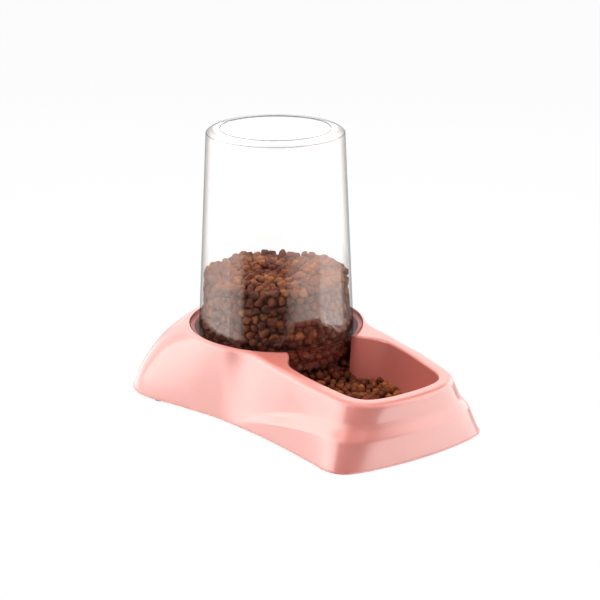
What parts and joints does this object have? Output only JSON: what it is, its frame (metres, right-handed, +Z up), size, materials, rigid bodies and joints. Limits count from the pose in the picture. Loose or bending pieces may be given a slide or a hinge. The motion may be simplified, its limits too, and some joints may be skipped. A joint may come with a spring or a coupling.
{
  "type": "gravity pet feeder",
  "caption": "Gravity pet feeder: an upturned clear jar stands in a moulded base and lets dry food down a chute into an open front bowl.",
  "frame": {"origin": "on the floor under the middle of the base", "axes": "+X from the jar towards the bowl, +Y across, +Z up"},
  "size_m": [0.2902, 0.2106, 0.2261],
  "materials": {
    "pink_plastic": "satin",
    "clear_plastic": "polished clear",
    "dark_rubber": "matte",
    "dry_food": "matte"
  },
  "bodies": {
    "root": {"base": "pink_plastic", "reservoir": "clear_plastic", "foot_front_left": "dark_rubber", "foot_front_right": "dark_rubber", "foot_rear_left": "dark_rubber", "foot_rear_right": "dark_rubber", "kibble_in_bowl": "dry_food", "kibble_in_reservoir": "dry_food"}
  },
  "joints": []
}
